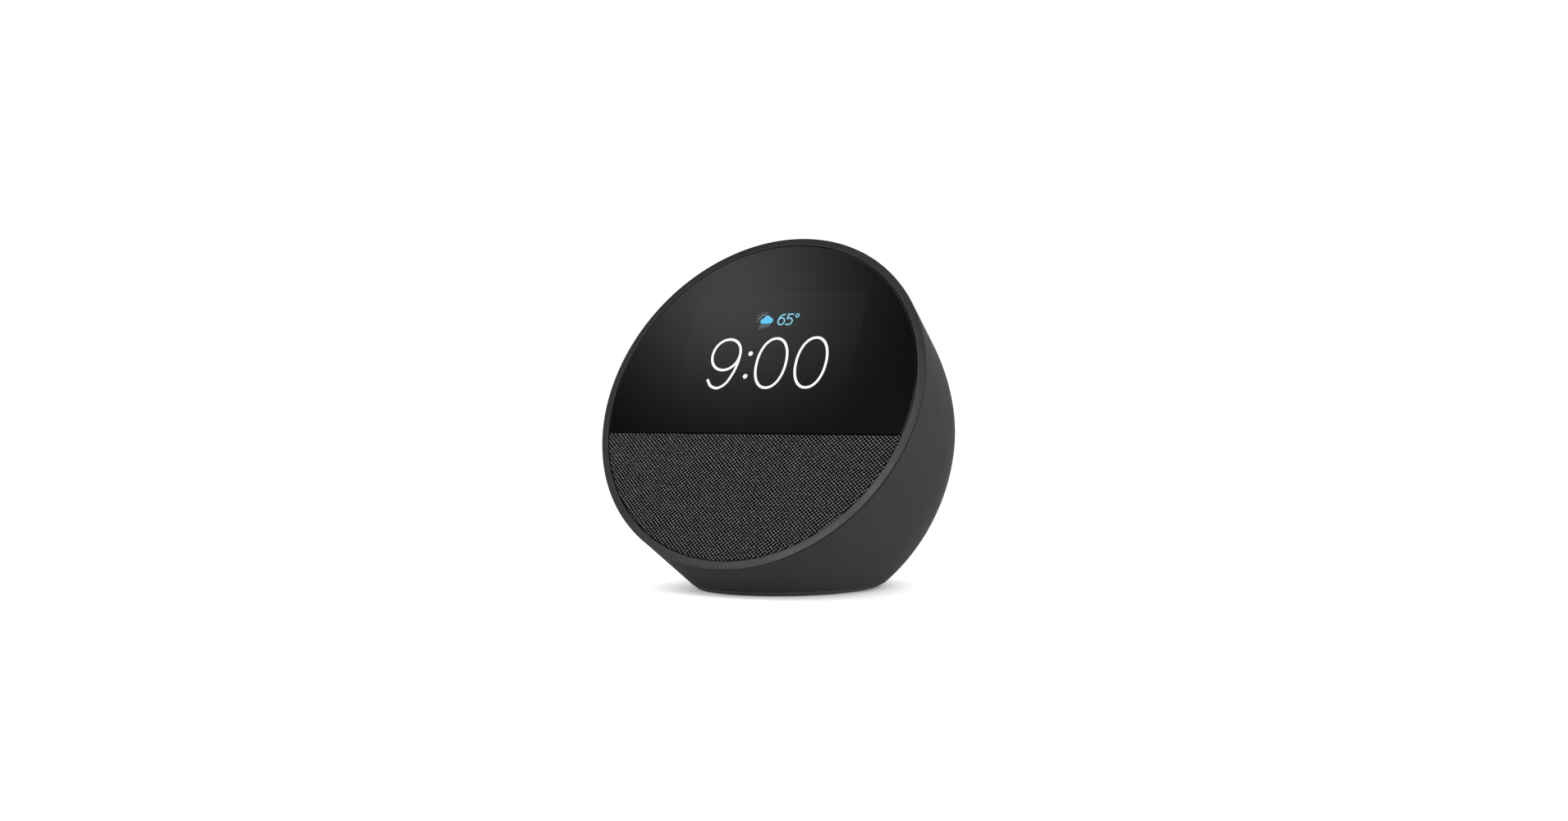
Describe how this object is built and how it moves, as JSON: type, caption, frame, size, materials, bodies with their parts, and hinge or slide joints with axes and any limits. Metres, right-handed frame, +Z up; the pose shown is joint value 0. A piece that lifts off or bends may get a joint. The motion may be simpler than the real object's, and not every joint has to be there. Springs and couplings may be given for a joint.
{
  "type": "smart display",
  "caption": "Tabletop smart display: tilted round front with glass above and a woven speaker grille below, in an egg-shaped shell on a small foot, with push buttons on top.",
  "frame": {"origin": "on the table, at the middle of the foot, below the widest part of the body", "axes": "+Z up, the front faces -Y and leans back, +X to the right seen from the front"},
  "size_m": [0.113, 0.1026, 0.1112],
  "materials": {
    "shell_plastic": "fine matte",
    "rim_plastic": "satin",
    "cover_glass": "gloss black glass",
    "grille_cloth": "woven, charcoal",
    "inner_plastic": "moulded",
    "rubber": "matte",
    "button_plastic": "satin",
    "steel": "plated",
    "aluminium": "satin",
    "brass": "bright",
    "magnet_ferrite": "ground",
    "circuit_board": "solder mask",
    "chip_plastic": "matte",
    "connector_plastic": "matte",
    "flex_film": "satin film",
    "display_glass": "dark",
    "paper_cone": "pressed paper",
    "copper_wire": "enamelled",
    "cable_jacket": "satin",
    "thermal_pad": "soft"
  },
  "bodies": {
    "housing": {"rear_shell": "shell_plastic", "rim_ring": "rim_plastic", "cover_glass": "cover_glass", "glass_adhesive": "rubber", "grille_fabric": "grille_cloth", "grille_frame": "inner_plastic", "front_chassis": "inner_plastic", "chassis_screws": "steel", "display_panel": "display_glass", "backlight_unit": "connector_plastic", "display_bracket": "steel", "display_flex": "flex_film", "heat_spreader": "aluminium", "thermal_pad": "thermal_pad", "main_board": "circuit_board", "processor": "chip_plastic", "memory_chips": "chip_plastic", "wireless_shield": "steel", "board_connectors": "connector_plastic", "board_parts": "chip_plastic", "board_screws": "steel", "speaker_gasket": "rubber", "speaker_basket": "inner_plastic", "speaker_top_plate": "steel", "speaker_magnet": "magnet_ferrite", "speaker_yoke": "steel", "speaker_spider": "flex_film", "speaker_surround": "rubber", "speaker_terminals": "brass", "speaker_leads": "cable_jacket", "button_bracket": "inner_plastic", "button_flex": "flex_film", "tact_switches": "steel", "microphones": "steel", "microphone_seals": "rubber", "power_board": "circuit_board", "power_board_screws": "steel", "power_parts": "chip_plastic", "dc_jack": "inner_plastic", "jack_contact": "brass", "power_cable": "cable_jacket", "base_plate": "inner_plastic", "base_screws": "steel", "base_foot": "rubber"},
    "volume_down": {"volume_down_cap": "button_plastic", "volume_down_plunger": "connector_plastic"},
    "volume_up": {"volume_up_cap": "button_plastic", "volume_up_plunger": "connector_plastic"},
    "microphone_mute": {"mute_cap": "button_plastic", "mute_plunger": "connector_plastic"},
    "cone_assembly": {"speaker_cone": "paper_cone", "dust_cap": "paper_cone", "voice_coil": "copper_wire"}
  },
  "joints": [
    {"name": "volume_down_press", "type": "slide", "parent": "housing", "child": "volume_down", "axis": [0.2639, -0.4076, -0.8742], "range_m": [0, 0.0006], "stiffness_N_per_m": 2500},
    {"name": "volume_up_press", "type": "slide", "parent": "housing", "child": "volume_up", "axis": [0, -0.4226, -0.9063], "range_m": [0, 0.0006], "stiffness_N_per_m": 2500},
    {"name": "microphone_mute_press", "type": "slide", "parent": "housing", "child": "microphone_mute", "axis": [-0.2639, -0.4076, -0.8742], "range_m": [0, 0.0006], "stiffness_N_per_m": 2500},
    {"name": "cone_travel", "type": "slide", "parent": "housing", "child": "cone_assembly", "axis": [0, -0.9063, 0.4226], "range_m": [-0.001, 0.001], "stiffness_N_per_m": 1500}
  ]
}
